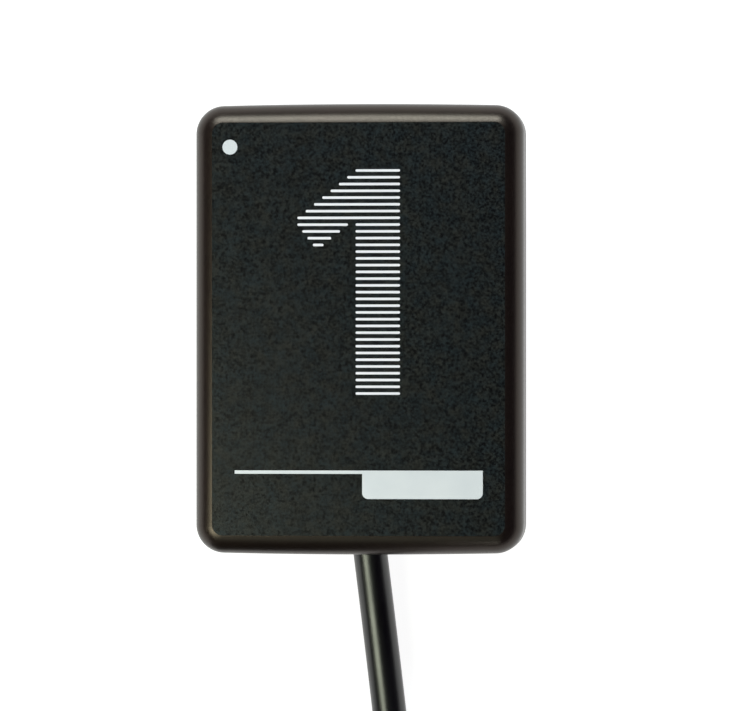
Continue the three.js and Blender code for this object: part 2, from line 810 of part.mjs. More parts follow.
const tongueWidth = shellWidth - 2 * shellWall - 2 * tongueFit;
const tongueLow = shellWall + tongueFit - shellHeight / 2;
const tongueTop = tongueLow + tongueThickness;
const tongueTip = shellMouth - tongueSetback;
const contactSpots = [
  ['usb_contact_power', -powerContactSpacing / 2, powerContactLength],
  ['usb_contact_data_minus', -dataContactSpacing / 2, dataContactLength],
  ['usb_contact_data_plus', dataContactSpacing / 2, dataContactLength],
  ['usb_contact_ground', powerContactSpacing / 2, powerContactLength],
];
const contactNoseEnd = tongueTip - contactNose;

// Insulator: a full block in the overmould and a half-height tongue with four grooves
function plugTongue() {
  const length = tongueTip - shellRear;
  const tongue = new THREE.BoxGeometry(tongueWidth, length, tongueThickness);
  tongue.translate(0, shellRear + length / 2, tongueLow + tongueThickness / 2);
  const fullHeight = shellHeight - 2 * shellWall - 2 * tongueFit;
  const rear = new THREE.BoxGeometry(tongueWidth, shellSunk, fullHeight);
  rear.translate(0, shellRear + shellSunk / 2, tongueLow + fullHeight / 2);
  const grooves = contactSpots.map(([, spot, reach]) => {
    const groove = new THREE.BoxGeometry(contactWidth + 2 * contactFit, reach, 2 * grooveDepth);
    return groove.translate(spot, contactNoseEnd - reach / 2, tongueTop);
  });
  return cut(joined(tongue, rear), ...grooves);
}

// Contact strip: flat in its groove, with a nose bent down into the tongue's end
function plugContact(spot, reach) {
  const low = tongueTop - grooveDepth;
  const start = contactNoseEnd - reach + contactFit;
  const end = contactNoseEnd - contactFit;
  const shape = new THREE.Shape([
    new THREE.Vector2(start, 0),
    new THREE.Vector2(end, 0),
    new THREE.Vector2(end, contactThickness / 2),
    new THREE.Vector2(end - contactThickness, contactThickness),
    new THREE.Vector2(start, contactThickness),
  ]);
  const strip = new THREE.ExtrudeGeometry(shape, { depth: contactWidth, bevelEnabled: false });
  const matrix = new THREE.Matrix4().makeBasis(
    new THREE.Vector3(0, 1, 0),
    new THREE.Vector3(0, 0, 1),
    new THREE.Vector3(1, 0, 0),
  );
  strip.applyMatrix4(matrix).translate(spot - contactWidth / 2, 0, low);
  return merged(strip);
}

// Overmould: round-cornered grip with ribbed sides and a tapered rear, open for the shell
function plugOvermould() {
  const grip = [];
  for (let groove = 0; groove < gripCount; groove += 1) {
    const start = overmouldStart + gripSetback + groove * gripPitch;
    grip.push([0, start], [gripGrooveDepth, start + gripGrooveWidth / 3]);
    grip.push([gripGrooveDepth, start + gripGrooveWidth * 2 / 3], [0, start + gripGrooveWidth]);
  }
  const stations = [
    [overmouldEdge + overmouldTaper, overmouldStart],
    [overmouldTaper, overmouldStart + overmouldEdge],
    [0, overmouldStart + gripSetback - gripGrooveWidth],
    ...grip,
    [0, overmouldEnd - overmouldEdge],
    [overmouldEdge, overmouldEnd],
  ];
  const rings = stations.map(([inset, along]) => {
    const width = overmouldWidth - 2 * inset;
    const height = overmouldHeight - 2 * inset;
    return acrossPlug(roundedOutline(width, height, overmouldCornerRadius - inset / 2), along);
  });
  const pocketWidth = shellWidth + 2 * pocketFit;
  const pocketHeight = shellHeight + 2 * pocketFit;
  const pocketRear = shellRear - pocketFit;
  const pocket = plugBlock(pocketWidth, pocketHeight, shellCornerRadius, pocketRear, overmouldEnd + overrun);
  return cut(skin(rings), pocket);
}

// Ribbed relief between the cord and the overmould
function plugRelief() {
  const ribPitch = plugReliefLength / plugReliefRibs;
  const profile = [[0, 0], [plugReliefTipRadius, 0]];
  for (let rib = 1; rib <= plugReliefRibs; rib += 1) {
    const share = rib / plugReliefRibs;
    const radius = plugReliefTipRadius + (plugReliefBaseRadius - plugReliefTipRadius) * share;
    const end = rib * ribPitch;
    profile.push([radius, end - ribPitch / 2]);
    if (rib < plugReliefRibs) {
      profile.push([radius - plugReliefRibDepth, end - ribPitch / 3], [radius - plugReliefRibDepth, end]);
    }
  }
  profile.push([plugReliefBaseRadius, plugReliefLength], [0, plugReliefLength]);
  return turned(profile, roundSides);
}

const plugPieces = [
  addPiece('usb_shell', plugShell(), steel, 0.3, 1),
  addPiece('usb_tongue', plugTongue(), 0xe8e8e4, 0.5),
  ...contactSpots.map(([name, spot, reach]) => addPiece(name, plugContact(spot, reach), gold, 0.3, 1)),
  addPiece('usb_overmould', plugOvermould(), darkRubber, 0.6),
  addPiece('plug_strain_relief', plugRelief(), darkRubber, 0.6),
];
plugPieces.forEach((piece) => {
  piece.position.copy(plugTip);
  piece.rotation.z = -Math.PI / 2;
});

export default model;
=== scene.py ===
import math

import bmesh
import bpy
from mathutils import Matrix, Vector

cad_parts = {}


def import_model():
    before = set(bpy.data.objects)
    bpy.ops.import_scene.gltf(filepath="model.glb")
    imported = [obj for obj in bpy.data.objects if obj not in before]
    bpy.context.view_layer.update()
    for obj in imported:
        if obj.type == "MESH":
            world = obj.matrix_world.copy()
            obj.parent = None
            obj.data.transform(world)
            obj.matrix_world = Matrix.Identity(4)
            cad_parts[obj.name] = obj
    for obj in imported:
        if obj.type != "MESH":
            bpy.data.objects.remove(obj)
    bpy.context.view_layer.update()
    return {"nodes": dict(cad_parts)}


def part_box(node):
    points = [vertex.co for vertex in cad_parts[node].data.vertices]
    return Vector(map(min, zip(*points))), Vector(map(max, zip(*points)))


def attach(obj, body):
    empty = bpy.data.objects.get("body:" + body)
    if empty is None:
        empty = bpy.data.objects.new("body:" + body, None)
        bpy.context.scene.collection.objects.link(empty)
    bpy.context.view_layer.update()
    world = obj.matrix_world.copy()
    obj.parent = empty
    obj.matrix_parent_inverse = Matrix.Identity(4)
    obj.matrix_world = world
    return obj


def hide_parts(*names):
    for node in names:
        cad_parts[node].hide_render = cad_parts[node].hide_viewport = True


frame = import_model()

# Lengths are in metres. The frame's boxes give the places that the head is built on
MM = 0.001
front_low, front_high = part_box("front_shell")
_, rear_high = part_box("rear_shell")
HEAD_WIDTH = front_high.x - front_low.x
HEAD_LENGTH = front_high.y - front_low.y
FACE = front_high.z
FRONT_RIM = front_low.z
REAR_RIM = rear_high.z
HEAD_THICKNESS = 7.3 * MM
REAR_PLANE = FACE - HEAD_THICKNESS
CORNER_RADIUS = 2.4 * MM
LEAST_CORNER_RADIUS = 0.5 * MM
END_CROWN = 0.12 * MM
LEAST_CROWN_SHARE = 0.001
FACE_INSET = 1.45 * MM
CREASE_TILT = math.radians(15)
CREASE_RADIUS = 0.3 * MM
SIDE_WALL = 0.9 * MM
WINDOW_WALL = 0.8 * MM
REAR_WALL = 0.8 * MM
REAR_FLOOR = REAR_PLANE + REAR_WALL
REAR_EDGE_RADIUS = 2 * MM
LEDGE_INSET = 1.6 * MM
LEDGE_CORNER_RADIUS = 0.6 * MM
RIM_ROUNDING = 0.08 * MM

# Cable, and the boss that it leaves by
CABLE_DIAMETER = 2.9 * MM
CABLE_RADIUS = CABLE_DIAMETER / 2
CABLE_AXIS = REAR_PLANE / 2
BOSS_WIDTH = 11 * MM
BOSS_EXIT_WIDTH = 9.2 * MM
BOSS_FAR_END = 5.4 * MM
BOSS_EXIT = 10 * MM
BOSS_EXIT_CUT_SHARE = 0.8
BOSS_EDGE_RADIUS = 1.2 * MM
BOSS_FILLET = 0.9 * MM
BOSS_FLOOR = 0.75 * MM
BOSS_BORE_RADIUS = 1.95 * MM
CHAMBER_WIDTH = 6.4 * MM
CHAMBER_REAR = 4.6 * MM
CHAMBER_FRONT = 2.8 * MM
CHAMBER_CORNER_RADIUS = 0.6 * MM

# Boot in the boss: a neck in the bore, a flange, and a taper that flares at its root
BOOT_BORE_RADIUS = 1.55 * MM
BOOT_NECK_RADIUS = 1.85 * MM
BOOT_FLANGE_RADIUS = 2.3 * MM
BOOT_FLANGE_THICKNESS = 0.7 * MM
BOOT_FLANGE_ROUNDING = 0.28 * MM
BOOT_FIT = 0.1 * MM
BOOT_ROOT = 0.1 * MM
BOOT_FULLNESS = 0.02 * MM
BOOT_TIP = 13.6 * MM
BOOT_TIP_RADIUS = 1.66 * MM
BOOT_TIP_ROUNDING = 0.05 * MM

# Ties round the coil: woven tape with an overlapping end
TIE_THICKNESS = 0.4 * MM
TIE_GAP = 0.3 * MM
TIE_EDGE = 0.12 * MM
TIE_END_LENGTH = 7 * MM
TIE_END_THICKNESS = 0.28 * MM
TIE_END_CORNER_RADIUS = 1.1 * MM
TIE_END_EDGE = 0.08 * MM
TIE_END_SHIFT = 1.5 * MM
TIE_END_SUNK = 0.02 * MM

# Coil of the put-away lead, as in the model's source. The ties pass under it
COIL_MEAN_RADIUS = 15.77 * MM
COIL_TURNS_PER_LAYER = 3.213
COIL_LAYERS = 6
TURN_GAP = 0.45 * MM
COIL_PITCH = CABLE_DIAMETER + TURN_GAP
COIL_OUTER_RADIUS = COIL_MEAN_RADIUS + COIL_TURNS_PER_LAYER * COIL_PITCH / 2
COIL_CLIMB_TURNS = 0.5
COIL_START_X = 3.4 * MM
COIL_CENTRE = Vector((COIL_START_X - COIL_OUTER_RADIUS, -56.5 * MM, 0))
COIL_LIFT = TIE_THICKNESS + TIE_GAP + CABLE_RADIUS
COIL_TOP = COIL_LIFT + (COIL_LAYERS - 1) * COIL_PITCH + CABLE_RADIUS
COIL_POINTS_PER_TURN = 90
CORD_SPACING = 0.9 * MM
CORD_BEVEL_STEPS = 7
CENTRIPETAL_POWER = 0.5

# Plug's place on the coil, and the cord's route up to it: shares of the coil's outer radius to the
# right and away from its centre, and of the climb from the last turn to the plug
PLUG_REST = 0.05 * MM
PLUG_SHARES = (-0.506, 0.4255)
TAIL_SHARES = (
    (-0.72, -0.72, 0.07),
    (-0.913, -0.426, 0.22),
    (-0.993, -0.14, 0.43),
    (-0.968, 0.163, 0.67),
    (-0.875, 0.301, 0.8),
    (-0.737, 0.393, 0.92),
)

# Plug: a metal shell in a moulded grip with a ribbed relief, laid on the coil and pointing to +X
SHELL_WIDTH = 12 * MM
SHELL_HEIGHT = 4.5 * MM
SHELL_WALL = 0.3 * MM
SHELL_CORNER_RADIUS = 0.6 * MM
SHELL_REACH = 11.8 * MM
SHELL_SUNK = 6 * MM
SHELL_LIP = 0.08 * MM
WINDOW_WIDTH = 2.3 * MM
WINDOW_LENGTH = 2 * MM
WINDOW_SETBACK = 5.2 * MM
WINDOW_SPACING = 5 * MM
WINDOW_CORNER_RADIUS = 0.15 * MM
OVERMOULD_WIDTH = 15.6 * MM
OVERMOULD_HEIGHT = 7.8 * MM
OVERMOULD_LENGTH = 24 * MM
OVERMOULD_CORNER_RADIUS = 2 * MM
OVERMOULD_EDGE = 0.8 * MM
OVERMOULD_TAPER = 0.9 * MM
SHOULDER_INSET = 0.12 * MM
SHOULDER_START_SHARE = 1.4
GRIP_DEPTH = 0.35 * MM
GRIP_WIDTH = 0.9 * MM
GRIP_PITCH = 2 * MM
GRIP_SETBACK = 4.6 * MM
GRIP_COUNT = 4
POCKET_FIT = 0.05 * MM
RELIEF_LENGTH = 11 * MM
RELIEF_BASE_RADIUS = 2.9 * MM
RELIEF_BASE_EDGE = 0.05 * MM
RELIEF_TIP_RADIUS = 1.9 * MM
RELIEF_TIP_EDGE = 0.15 * MM
RELIEF_CAP_RADIUS = 0.01 * MM
RELIEF_RIBS = 6
RELIEF_RIB_DEPTH = 0.35 * MM
RIB_FULLNESS_SHARE = 1.8
LEAST_PLUG_RADIUS = 0.05 * MM
OVERMOULD_END = RELIEF_LENGTH + OVERMOULD_LENGTH
SHELL_MOUTH = OVERMOULD_END + SHELL_REACH
SHELL_REAR = OVERMOULD_END - SHELL_SUNK

# Printed marks: a thin layer of white ink on the flat face
INK_THICKNESS = 0.015 * MM
DOT_X = -10.74 * MM
DOT_Y = 15.2 * MM
DOT_DIAMETER = 1.25 * MM
STRIPE_COUNT = 34
STRIPE_PITCH = 0.563 * MM
STRIPE_WIDTH = 0.21 * MM
NUMERAL_TOP = 13.22 * MM
STEM_LEFT = -0.22 * MM
STEM_RIGHT = 3.5 * MM
FLAG_LONGEST = 8
FLAG_STEP = 0.695 * MM
FLAG_ROWS = 12
FLAG_RIGHTS = (-0.86 * MM, -1.52 * MM, -2.26 * MM, -2.9 * MM)
FLAG_LEFTS = (-5.09 * MM, -4.67 * MM, -4.24 * MM, -3.79 * MM)
RULE_LEFT = -10.34 * MM
RULE_RIGHT = 10.4 * MM
RULE_LEVEL = -11.78 * MM
RULE_WIDTH = 0.28 * MM
TAB_LEFT = 0.33 * MM
TAB_HEIGHT = 2.37 * MM
TAB_CORNER_RADIUS = 0.5 * MM

# Fineness of the meshes: steps along a curve, sides of a round, angles in degrees past which an edge
# is shaded sharp, and the distance within which points are merged
CORNER_STEPS = 20
CROWN_STEPS = 12
EDGE_STEPS = 18
CREASE_STEPS = 4
INNER_EDGE_STEPS = 5
BOSS_STEPS = 40
BAND_CORNER_STEPS = 10
SMALL_CORNER_STEPS = 8
WINDOW_CORNER_STEPS = 4
OVERMOULD_EDGE_STEPS = 6
GROOVE_STEPS = 12
RIB_STEPS = 12
MARK_STEPS = 8
BORE_SIDES = 64
RELIEF_SIDES = 56
DOT_SIDES = 48
SHARP_ANGLE = 35
CREASE_SHARP_ANGLE = 8
REAR_SHARP_ANGLE = 25
GRIP_SHARP_ANGLE = 40
MERGE_DISTANCE = 0.00002 * MM

# Camera: its distance, turn and scale come from the sizes of the head's edges in the photograph
VIEW_WIDTH = 737
CAMERA_TURN = math.radians(4.36)
CAMERA_DISTANCE = 451 * MM
CAMERA_AIM = Vector((0.863 * MM, -2.192 * MM, FACE))
CAMERA_NEAR = 10 * MM
CAMERA_FAR = 20
PIXELS_PER_METRE = 12002
FILM_WIDTH_MM = 36


def add_object(name, data):
    """An object of the scene that holds a mesh, a curve, a camera or a lamp."""
    thing = bpy.data.objects.new(name, data)
    bpy.context.scene.collection.objects.link(thing)
    return thing


def camera_from_photo():
    camera = bpy.data.cameras.new("camera")
    camera.sensor_fit = "HORIZONTAL"
    camera.sensor_width = FILM_WIDTH_MM
    camera.lens = FILM_WIDTH_MM * CAMERA_DISTANCE * PIXELS_PER_METRE / VIEW_WIDTH
    camera.clip_start = CAMERA_NEAR
    camera.clip_end = CAMERA_FAR
    holder = add_object("camera", camera)
    away = Vector((math.sin(CAMERA_TURN), 0, math.cos(CAMERA_TURN)))
    holder.location = CAMERA_AIM + away * CAMERA_DISTANCE
    holder.rotation_euler = (0, CAMERA_TURN, 0)
    bpy.context.scene.camera = holder


def smooth_share(value):
    held = min(max(value, 0), 1)
    return held * held * (3 - 2 * held)


def coil_point(turn):
    """A place on the coil, from the turns before it. Odd layers spiral in, and even ones out again."""
    layer = min(int(turn / COIL_TURNS_PER_LAYER), COIL_LAYERS - 1)
    along = turn - layer * COIL_TURNS_PER_LAYER
    inwards = along if layer % 2 == 0 else COIL_TURNS_PER_LAYER - along
    radius = COIL_OUTER_RADIUS - inwards * COIL_PITCH
    climbed = 0
    for reversal in range(1, COIL_LAYERS):
        climbed += smooth_share((turn - reversal * COIL_TURNS_PER_LAYER) / COIL_CLIMB_TURNS + 0.5)
    angle = -turn * 2 * math.pi
    place = Vector((radius * math.cos(angle), radius * math.sin(angle), COIL_LIFT + climbed * COIL_PITCH))
    return COIL_CENTRE + place


def over_coil(across, along, level):
    """A place over the coil, from shares of its outer radius."""
    return Vector((
        COIL_CENTRE.x + across * COIL_OUTER_RADIUS,
        COIL_CENTRE.y + along * COIL_OUTER_RADIUS,
        level,
    ))


def plug_tip():
    """Where the lead goes into the plug's relief. The plug points to +X from there."""
    return over_coil(*PLUG_SHARES, COIL_TOP + PLUG_REST + OVERMOULD_HEIGHT / 2)


def catmull_rom(points):
    """Points on a smooth curve through the given ones, about a spacing apart."""
    line = [points[0] * 2 - points[1], *points, points[-1] * 2 - points[-2]]
    smooth = []
    for before, start, end, after in zip(line, line[1:], line[2:], line[3:]):
        knots = [0]
        for near, far in ((before, start), (start, end), (end, after)):
            knots.append(knots[-1] + (far - near).length ** CENTRIPETAL_POWER)
        steps = max(2, round((end - start).length / CORD_SPACING))
        for step in range(steps):
            t = knots[1] + (knots[2] - knots[1]) * step / steps
            mixes = [before, start, end, after]
            for level in (1, 2, 3):
                mixes = [
                    mixes[i] * ((knots[i + level] - t) / (knots[i + level] - knots[i]))
                    + mixes[i + 1] * ((t - knots[i]) / (knots[i + level] - knots[i]))
                    for i in range(4 - level)
                ]
            smooth.append(mixes[0])
    smooth.append(points[-1])
    return smooth


def cord_line():
    """The lead's centreline, from the boot's tip round the coil to the plug's relief."""
    turns = COIL_TURNS_PER_LAYER * COIL_LAYERS
    steps = round(turns * COIL_POINTS_PER_TURN)
    coil = [coil_point(turns * step / steps) for step in range(steps + 1)]
    entering = Vector((0, CABLE_DIAMETER, 0))
    leaving = Vector((math.sin(-turns * 2 * math.pi), -math.cos(turns * 2 * math.pi), 0)) * CABLE_DIAMETER
    plug = plug_tip()
    run = [
        Vector((0, -BOOT_TIP, CABLE_AXIS)),
        Vector((0, -16.8 * MM, CABLE_AXIS)),
        Vector((0.26, -19.1, 2.35)) * MM,
        Vector((0.7, -23, 1.85)) * MM,
        Vector((1.28, -28, 1.55)) * MM,
        Vector((1.86, -33, 1.5)) * MM,
        Vector((2.42, -38, 1.52)) * MM,
        Vector((2.9, -43, 1.65)) * MM,
        Vector((3.22, -46.8, 1.88)) * MM,
        coil[0] + entering * 2,
        coil[0] + entering,
        coil[0],
    ]
    climb = plug.z - coil[-1].z
    tail = [
        coil[-1],
        coil[-1] + leaving,
        coil[-1] + leaving * 2,
        *[over_coil(across, along, coil[-1].z + climb * climbed) for across, along, climbed in TAIL_SHARES],
        plug - Vector((CABLE_RADIUS, 0, 0)),
        plug,
    ]
    return catmull_rom(run)[:-1] + coil + catmull_rom(tail)[1:]


def cable():
    """One open curve. Its points hold the radius, because they also widen the curve's box."""
    curve = bpy.data.curves.new("sensor_cable", "CURVE")
    curve.dimensions = "3D"
    curve.bevel_depth = 1
    curve.bevel_resolution = CORD_BEVEL_STEPS
    curve.use_fill_caps = True
    spline = curve.splines.new("POLY")
    line = cord_line()
    spline.points.add(len(line) - 1)
    for point, place in zip(spline.points, line):
        point.co = (*place, 1)
        point.radius = CABLE_RADIUS
    spline.use_smooth = True
    return add_object("sensor_cable", curve)


camera_from_photo()
lead = cable()


# Meshes
def smooth_faces(work, sharp_angle):
    """Smooth faces, and sharp edges where the surface turns by more than the angle."""
    for face in work.faces:
        face.smooth = True
    for edge in work.edges:
        edge.smooth = edge.calc_face_angle(0) < math.radians(sharp_angle)


def mesh_piece(name, points, faces, sharp_angle=SHARP_ANGLE):
    """A mesh object with its doubled points merged and its faces turned outwards."""
    mesh = bpy.data.meshes.new(name)
    mesh.from_pydata([tuple(point) for point in points], [], faces)
    work = bmesh.new()
    work.from_mesh(mesh)
    bmesh.ops.remove_doubles(work, verts=work.verts, dist=MERGE_DISTANCE)
    bmesh.ops.recalc_face_normals(work, faces=work.faces)
    smooth_faces(work, sharp_angle)
    work.to_mesh(mesh)
    work.free()
    return add_object(name, mesh)


def shade_again(piece, sharp_angle=SHARP_ANGLE):
    """Shades a piece anew after a cut."""
    work = bmesh.new()
    work.from_mesh(piece.data)
    smooth_faces(work, sharp_angle)
    work.to_mesh(piece.data)
    work.free()


def skin_faces(ring_count, count, closes_on_itself=False, filled=True):
    """Faces between rings of equally many points, and over both ends where these are filled."""
    faces = []
    bands = ring_count if closes_on_itself else ring_count - 1
    for band in range(bands):
        near = band * count
        far = (band + 1) % ring_count * count
        for i in range(count):
            after = (i + 1) % count
            faces.append((near + i, near + after, far + after, far + i))
    if filled and not closes_on_itself:
        faces.append(tuple(reversed(range(count))))
        faces.append(tuple((ring_count - 1) * count + i for i in range(count)))
    return faces


def skin(name, rings, closes_on_itself=False, sharp_angle=SHARP_ANGLE):
    """A closed skin through rings of equally many points."""
    points = [point for ring in rings for point in ring]
    return mesh_piece(name, points, skin_faces(len(rings), len(rings[0]), closes_on_itself), sharp_angle)


def boolean(piece, tool, operation):
    """Joins or cuts a piece with a tool, and removes the tool."""
    modifier = piece.modifiers.new("join", "BOOLEAN")
    modifier.operation = operation
    modifier.solver = "EXACT"
    modifier.object = tool
    bpy.context.view_layer.update()
    result = bpy.data.meshes.new_from_object(piece.evaluated_get(bpy.context.evaluated_depsgraph_get()))
    piece.modifiers.clear()
    old = piece.data
    piece.data = result
    bpy.data.meshes.remove(old)
    bpy.data.objects.remove(tool)


def box_tool(low, high):
    corners = [(x, y, z) for x in (low[0], high[0]) for y in (low[1], high[1]) for z in (low[2], high[2])]
    faces = [(0, 1, 3, 2), (4, 6, 7, 5), (0, 4, 5, 1), (2, 3, 7, 6), (0, 2, 6, 4), (1, 5, 7, 3)]
    return mesh_piece("tool", corners, faces)


# Outlines
def quarter_turn(steps):
    """Angles from zero to a right angle."""
    return [math.pi / 2 * step / steps for step in range(steps + 1)]


def circle(radius, sides):
    """Points round the origin, anticlockwise."""
    angles = [2 * math.pi * side / sides for side in range(sides)]
    return [(radius * math.cos(angle), radius * math.sin(angle)) for angle in angles]


def arc(centre, radius, start, turn):
    """Points on an arc of the print. Its first angle and its turn are in degrees."""
    points = []
    for step in range(MARK_STEPS + 1):
        angle = math.radians(start + turn * step / MARK_STEPS)
        points.append((centre[0] + radius * math.cos(angle), centre[1] + radius * math.sin(angle)))
    return points


def rounded_outline(width, length, radius, crown=0.0, steps=CORNER_STEPS):
    """Points round a rounded rectangle, anticlockwise. Its two ends may be crowned."""
    corner_x = width / 2 - radius
    corner_y = length / 2 - crown - radius
    points = []
    for corner, (sign_x, sign_y) in enumerate(((1, 1), (-1, 1), (-1, -1), (1, -1))):
        for step in range(steps + 1):
            angle = (corner + step / steps) * math.pi / 2
            points.append((
                sign_x * corner_x + radius * math.cos(angle),
                sign_y * corner_y + radius * math.sin(angle),
            ))
        if crown and sign_x == sign_y:
            for step in range(1, CROWN_STEPS):
                share = 2 * step / CROWN_STEPS - 1
                points.append((
                    -sign_x * share * corner_x,
                    sign_y * (length / 2 - crown * share * share),
                ))
    return points


# Head
def head_ring(inset, level):
    """The head's outline, set in. Its ends are crowned outside and straight round the face."""
    crown = END_CROWN * max(1 - inset / FACE_INSET, LEAST_CROWN_SHARE)
    outline = rounded_outline(
        HEAD_WIDTH - 2 * inset,
        HEAD_LENGTH - 2 * (inset + END_CROWN - crown),
        max(CORNER_RADIUS - inset, LEAST_CORNER_RADIUS),
        crown,
    )
    return [(x, y, level) for x, y in outline]


def housing_front():
    """Front shell: flat face, crease, rolled edge and side wall, hollow from behind."""
    outer_radius = FACE_INSET / (1 - math.sin(CREASE_TILT))
    inner_radius = outer_radius - SIDE_WALL
    crease_drop = CREASE_RADIUS * (1 - math.cos(CREASE_TILT))
    arc_centre = FACE - crease_drop - outer_radius * math.cos(CREASE_TILT)
    outer = [head_ring(RIM_ROUNDING, FRONT_RIM), head_ring(0, FRONT_RIM + RIM_ROUNDING)]
    for step in range(EDGE_STEPS):
        tilt = math.pi / 2 + (CREASE_TILT - math.pi / 2) * step / EDGE_STEPS
        inset = outer_radius * (1 - math.sin(tilt))
        outer.append(head_ring(inset, arc_centre + outer_radius * math.cos(tilt)))
    for step in range(CREASE_STEPS + 1):
        tilt = CREASE_TILT * (1 - step / CREASE_STEPS)
        inset = FACE_INSET + CREASE_RADIUS * (math.sin(CREASE_TILT) - math.sin(tilt))
        outer.append(head_ring(inset, FACE - CREASE_RADIUS * (1 - math.cos(tilt))))
    inner = [head_ring(SIDE_WALL, FRONT_RIM)]
    for tilt in reversed(quarter_turn(INNER_EDGE_STEPS)):
        inset = outer_radius - inner_radius * math.sin(tilt)
        inner.append(head_ring(inset, FACE - WINDOW_WALL - inner_radius * (1 - math.cos(tilt))))
    return skin("housing_front", [*reversed(inner), *outer], sharp_angle=CREASE_SHARP_ANGLE)


def rear_tray():
    """The rear shell without its boss: a rounded edge outside and a ledge for the board inside."""
    outer = [head_ring(RIM_ROUNDING, REAR_RIM), head_ring(0, REAR_RIM - RIM_ROUNDING)]
    for tilt in quarter_turn(EDGE_STEPS):
        inset = REAR_EDGE_RADIUS * (1 - math.cos(tilt))
        outer.append(head_ring(inset, REAR_PLANE + REAR_EDGE_RADIUS * (1 - math.sin(tilt))))
    inner = [
        head_ring(LEDGE_INSET, REAR_RIM),
        head_ring(LEDGE_INSET, REAR_FLOOR + LEDGE_CORNER_RADIUS),
        head_ring(LEDGE_INSET + LEDGE_CORNER_RADIUS, REAR_FLOOR),
    ]
    return skin("housing_rear", [*reversed(inner), *outer])


def boss_ring(offset, level):
    """The boss's outline, set out: two round ends of unlike width and the flanks between them."""
    far_radius = BOSS_WIDTH / 2 + offset
    exit_radius = BOSS_EXIT_WIDTH / 2 + offset
    far_centre = BOSS_FAR_END - BOSS_WIDTH / 2
    exit_centre = BOSS_EXIT_CUT_SHARE * BOSS_EXIT_WIDTH / 2 - BOSS_EXIT
    flank = -math.asin((far_radius - exit_radius) / (far_centre - exit_centre))
    ring = []
    for centre, radius, start, end in (
        (far_centre, far_radius, flank, math.pi - flank),
        (exit_centre, exit_radius, math.pi - flank, 2 * math.pi + flank),
    ):
        for step in range(BOSS_STEPS + 1):
            angle = start + (end - start) * step / BOSS_STEPS
            ring.append((radius * math.cos(angle), centre + radius * math.sin(angle), level))
    return ring


def boss():
    """The boss: a rounded foot, a fillet to the back and a flat exit face."""
    rings = []
    for tilt in quarter_turn(EDGE_STEPS):
        offset = -BOSS_EDGE_RADIUS * (1 - math.sin(tilt))
        rings.append(boss_ring(offset, BOSS_EDGE_RADIUS * (1 - math.cos(tilt))))
    for tilt in quarter_turn(EDGE_STEPS):
        offset = BOSS_FILLET * (1 - math.cos(tilt))
        rings.append(boss_ring(offset, REAR_PLANE - BOSS_FILLET * (1 - math.sin(tilt))))
    rings.append(boss_ring(BOSS_FILLET, REAR_PLANE + REAR_WALL / 2))
    piece = skin("boss", rings)
    beyond = box_tool((-BOSS_WIDTH, -2 * BOSS_EXIT, -BOSS_WIDTH), (BOSS_WIDTH, -BOSS_EXIT, BOSS_WIDTH))
    boolean(piece, beyond, "DIFFERENCE")
    return piece


def bore_ring(radius, along):
    """A ring round the cable's axis in the boss."""
    return [(x, along, CABLE_AXIS + z) for x, z in circle(radius, BORE_SIDES)]


def boss_bore():
    ends = (-BOSS_EXIT - BOSS_FLOOR, -CHAMBER_REAR + BOSS_FLOOR)
    return skin("bore", [bore_ring(BOSS_BORE_RADIUS, along) for along in ends])


def anchor_chamber():
    """The hollow in the boss that takes the cable's anchor."""
    outline = rounded_outline(
        CHAMBER_WIDTH,
        CHAMBER_REAR + CHAMBER_FRONT,
        CHAMBER_CORNER_RADIUS,
        steps=SMALL_CORNER_STEPS,
    )
    shift = (CHAMBER_FRONT - CHAMBER_REAR) / 2
    levels = (BOSS_FLOOR, REAR_FLOOR + BOSS_FLOOR)
    return skin("chamber", [[(x, y + shift, level) for x, y in outline] for level in levels])


def housing_rear():
    """Rear shell: a tray, and the boss that the cable leaves by."""
    tray = rear_tray()
    boolean(tray, boss(), "UNION")
    boolean(tray, boss_bore(), "DIFFERENCE")
    boolean(tray, anchor_chamber(), "DIFFERENCE")
    shade_again(tray, REAR_SHARP_ANGLE)
    return tray


def strain_boot():
    """Boot: a neck in the bore, a rounded flange on the boss and a taper along the cable."""
    flange_start = -BOSS_EXIT - BOOT_FIT
    flange_end = flange_start - BOOT_FLANGE_THICKNESS
    round_radius = BOOT_FLANGE_RADIUS - BOOT_FLANGE_ROUNDING
    round_start = flange_end + BOOT_FLANGE_ROUNDING
    middle_radius = (BOOT_NECK_RADIUS + BOOT_TIP_RADIUS) / 2
    profile = [
        (BOOT_BORE_RADIUS, -CHAMBER_REAR),
        (BOOT_NECK_RADIUS, -CHAMBER_REAR),
        (BOOT_NECK_RADIUS, flange_start),
        (BOOT_FLANGE_RADIUS - BOOT_FLANGE_ROUNDING / 2, flange_start),
        (BOOT_FLANGE_RADIUS, flange_start - BOOT_FLANGE_ROUNDING / 2),
    ]
    for turn in quarter_turn(SMALL_CORNER_STEPS):
        radius = round_radius + BOOT_FLANGE_ROUNDING * math.cos(turn)
        profile.append((radius, round_start - BOOT_FLANGE_ROUNDING * math.sin(turn)))
    profile += [
        (BOOT_NECK_RADIUS + BOOT_ROOT, flange_end - BOOT_ROOT),
        (middle_radius + BOOT_FULLNESS, (flange_end - BOOT_TIP) / 2),
        (BOOT_TIP_RADIUS, -BOOT_TIP + BOOT_TIP_ROUNDING),
        (BOOT_TIP_RADIUS - BOOT_TIP_ROUNDING, -BOOT_TIP),
        (BOOT_BORE_RADIUS, -BOOT_TIP),
    ]
    rings = [bore_ring(radius, along) for radius, along in profile]
    return skin("strain_boot", rings, closes_on_itself=True)


